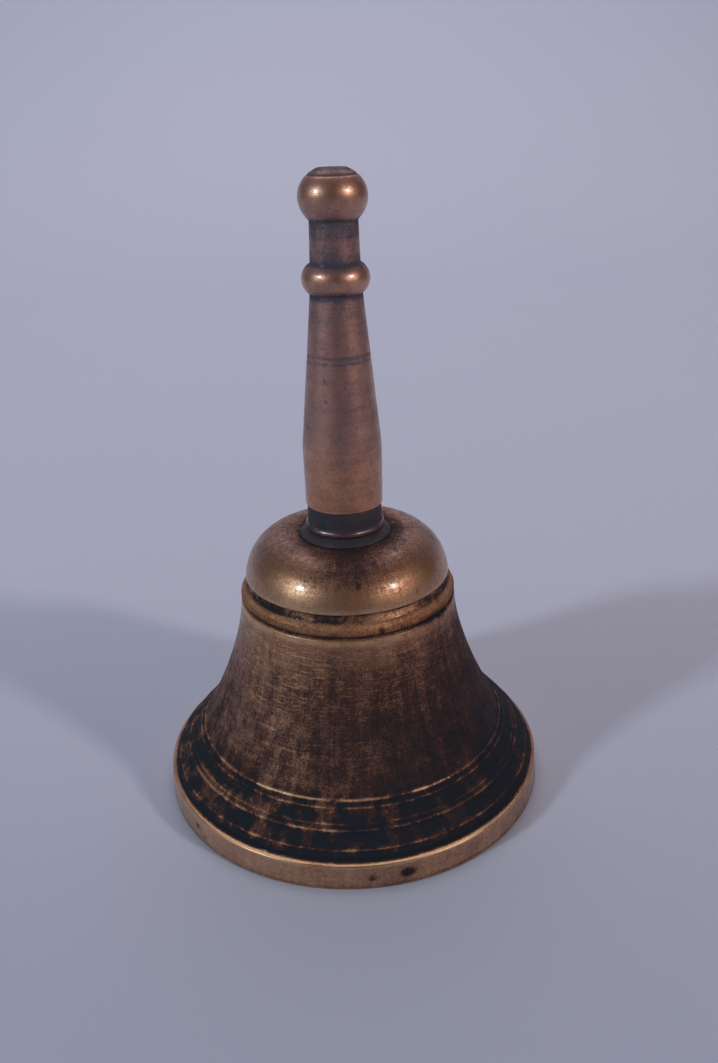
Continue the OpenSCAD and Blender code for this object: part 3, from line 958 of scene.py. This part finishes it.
def make_link(material):
    """Wire ring with a butt joint that shows as a fine groove."""
    low, high = span("clapper_link")
    out = (high[2] - low[2]) / 2
    wire = (high[0] - low[0]) / 2
    verts, faces = torus_part((0, 0, (low[2] + high[2]) / 2), "yz", out - wire, wire, 128, 32,
                              seam=math.radians(62))
    return mesh_object("link_wire", verts, faces, material)


def make_ball(material):
    """Bored ball with strike marks round its middle, the deepest where it meets the bell."""
    low, high = span("clapper_ball")
    r, flat = (high[0] - low[0]) / 2, (high[2] - low[2]) / 2
    z = (low[2] + high[2]) / 2
    bore = 1.2
    end = math.degrees(math.asin(flat / r))
    flat_r = r * math.cos(math.radians(end))
    outline = np.vstack([[(bore, low[2]), (flat_r - 0.12, low[2])],
                         oval((0, z), (r, r), -end + 0.6, end - 0.6, 72),
                         [(flat_r - 0.12, high[2]), (bore, high[2])]])
    out = resample(outline, 0.4, 0.4, lambda q, h: True)
    equator = float(np.linalg.norm(np.diff(out, axis=0), axis=1).sum()) / 2
    rng = np.random.RandomState(5)
    spots = [(rng.uniform(-np.pi, np.pi), rng.normal(equator, 2.0), rng.uniform(0.5, 1.3),
              rng.uniform(0.5, 1.2), rng.uniform(0.03, 0.10)) for _ in range(26)]
    spots += [(struck_at, equator + 1.0, 1.9, 1.9, 0.16) for struck_at in (0.0, np.pi)]
    struck, uneven = dents(spots), ripples(6, 10, 5)

    def raise_by(angle, along, radius, h):
        d = struck(angle, along, radius) + 0.01 * uneven(angle, along)
        return np.where(radius < flat_r + 0.3, 0, np.minimum(d, 0))

    def marks(angle, along, q, h):
        return {"wear": 0.7 * hump(h, z, 3.0), "hollow": 0.4 * hump(np.abs(h - z), flat, 1.0),
                "tint": 0.46, "smear": 0.3}

    return lathe("ball_turned", out, 128, material, raise_by, marks)


def make_nut(material):
    """Hexagon nut: rings whose radius is the hexagon's, cut down by a cone at the lower corners
    and slightly at the top edge."""
    low, high = span("staple_nut")
    flat, corner, height = (high[1] - low[1]) / 2, (high[0] - low[0]) / 2, high[2] - low[2]
    bore, segments = 2.5, 180
    ang = np.arange(segments) * 2 * np.pi / segments
    # corners lie on the X axis: the flats' normals are at 30, 90, ... degrees
    from_normal = ang % (np.pi / 3) - np.pi / 6
    hexagon = np.minimum(flat / np.cos(from_normal), corner - 0.06)
    rings = [(0.0, np.full(segments, bore + 0.25))]
    for h in (0.0, 0.05, 0.12, 0.2, 0.3, 0.42, 0.6, 0.9, 1.4, 1.9,
              height - 0.25, height - 0.1, height - 0.03, height):
        cone = corner - 0.72 + h * 2.0 if h < 0.36 else corner
        top_cut = corner if h < height - 0.26 else corner - 0.02 - (h - height + 0.25) * 0.4
        rings.append((h, np.minimum(np.minimum(hexagon, cone), top_cut)))
    rings += [(height, np.full(segments, bore + 0.05)), (0.22, np.full(segments, bore))]
    verts = []
    for h, r in rings:
        verts.extend(zip(r * np.cos(ang), r * np.sin(ang), np.full(segments, low[2] + h)))
    ids = np.arange(len(verts)).reshape(len(rings), segments).tolist()
    obj = mesh_object("nut_hexagon", verts, ring_faces(ids + ids[:1]), material)
    obj.data.set_sharp_from_angle(angle=math.radians(28))
    return obj


def make_washer(material):
    """Plain washer with a rounded edge."""
    (_, _, z0), (r, _, z1) = span("nut_washer")
    hole = 2.75
    outline = [(hole, z0 + 0.06), (hole + 0.08, z0), (r - 0.32, z0), (r - 0.14, z0 + 0.04),
               (r - 0.03, z0 + 0.16), (r, z0 + 0.34), (r, z1 - 0.1), (r - 0.08, z1), (hole, z1)]
    out = resample(outline, 0.1, 0.5, lambda q, h: q > r - 0.5)
    even = {"wear": 0.3, "hollow": 0.1, "tint": 0.46, "smear": 0.2}
    return lathe("washer_turned", out, 128, material, marks=lambda *_: even)


# ---- stage

def make_stage(material):
    """Seamless paper: flat under the bell, then curving up behind it. Lengths in metres."""
    half, front, back, rise, bend = 2.2, -1.6, 1.3, 1.6, 0.7
    row = [(y, 0.0) for y in np.linspace(front, back - bend, 24)]
    row += [(back - bend + bend * math.sin(a), bend * (1 - math.cos(a)))
            for a in np.linspace(0, np.pi / 2, 28)[1:]]
    row += [(back, h) for h in np.linspace(bend, rise, 8)[1:]]
    xs = np.linspace(-half, half, 33)
    verts = [(x, y, h) for y, h in row for x in xs]
    n = len(xs)
    faces = [(i * n + j, i * n + j + 1, (i + 1) * n + j + 1, (i + 1) * n + j)
             for i in range(len(row) - 1) for j in range(n - 1)]
    mesh = bpy.data.meshes.new("paper_sweep")
    mesh.from_pydata(verts, [], faces)
    shade_smooth(mesh)
    mesh.materials.append(material)
    mesh.update()
    obj = add_object("paper_sweep", mesh)


# ---- put together

bpy.context.scene.view_settings.view_transform = "Standard"
make_camera()
make_world()
key_light("key_left", azimuth=-59, elevation=26, distance=2.5, size=0.28, power=22.0,
          colour=(0.77, 0.93, 1.0))
key_light("key_right", azimuth=55, elevation=26, distance=2.5, size=0.28, power=18.8,
          colour=(1.0, 0.935, 0.86))
# hangs over the paper behind the bell and faces straight down
disk_light("overhead", size=1.3, power=6.0, colour=(1.0, 0.92, 0.92),
           matrix=Matrix.Translation((0, 0.62, 1.1)))
make_stage(backdrop_paper())

# each runs from rubbed bright, through satin and tarnished, to black
BRASS = ((0.66, 0.415, 0.275), (0.39, 0.208, 0.146), (0.100, 0.053, 0.055), (0.014, 0.018, 0.029))
BRONZE = ((0.68, 0.365, 0.260), (0.44, 0.222, 0.175), (0.165, 0.128, 0.160), (0.060, 0.066, 0.088))
DARKENED = ((0.60, 0.36, 0.32), (0.30, 0.180, 0.185), (0.105, 0.084, 0.098), (0.044, 0.046, 0.062))
YELLOW = ((0.66, 0.44, 0.18), (0.36, 0.22, 0.10), (0.13, 0.08, 0.05), (0.03, 0.026, 0.022))
bell_brass = turned_metal("bell_brass", BRASS, 30.0, lines=5.0, mottle=0.45, grain=0.95,
                          streaks=0.75, gloss=0.40, coat=0.85, green=0.22, red=0.40, relief=0.30)
handle_bronze = turned_metal("handle_bronze", BRONZE, 6.5, lines=5.0, mottle=0.26, grain=0.75,
                             streaks=0.30, gloss=0.42, coat=0.80, red=0.32, relief=0.40,
                             turning=2.4)
collar_brass = turned_metal("collar_brass", DARKENED, 7.5, lines=8.0, mottle=0.25, grain=0.2,
                            streaks=0.15, gloss=0.30)
washer_brass = turned_metal("washer_brass", YELLOW, 4.5, lines=8.0, mottle=0.4, gloss=0.30)
ball_brass = turned_metal("ball_brass", YELLOW, 7.0, lines=6.0, mottle=0.4, gloss=0.28)
iron = dull_steel("dark_iron", (0.23, 0.22, 0.21), (0.11, 0.06, 0.035), (0.08, 0.075, 0.07))
nut_iron = dull_steel("nut_iron", (0.28, 0.27, 0.25), (0.13, 0.075, 0.04), (0.10, 0.09, 0.08))

PIECES = [
    (make_bell(bell_brass), "bell", "bell_shell", "aged_brass"),
    (make_collar(collar_brass), "bell", "crown_collar", "dark_brass"),
    (make_handle(handle_bronze), "bell", "handle", "handle_bronze"),
    (make_staple(iron), "bell", "clapper_staple", "staple_steel"),
    (make_nut(nut_iron), "bell", "staple_nut", "nut_steel"),
    (make_washer(washer_brass), "bell", "nut_washer", "washer_brass"),
    (make_link(iron), "link", "clapper_link", "link_steel"),
    (make_rod(iron), "clapper", "clapper_rod", "rod_steel"),
    (make_ball(ball_brass), "clapper", "clapper_ball", "ball_brass"),
]
for piece, body, node, slot in PIECES:
    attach(piece, body)
    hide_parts(node)
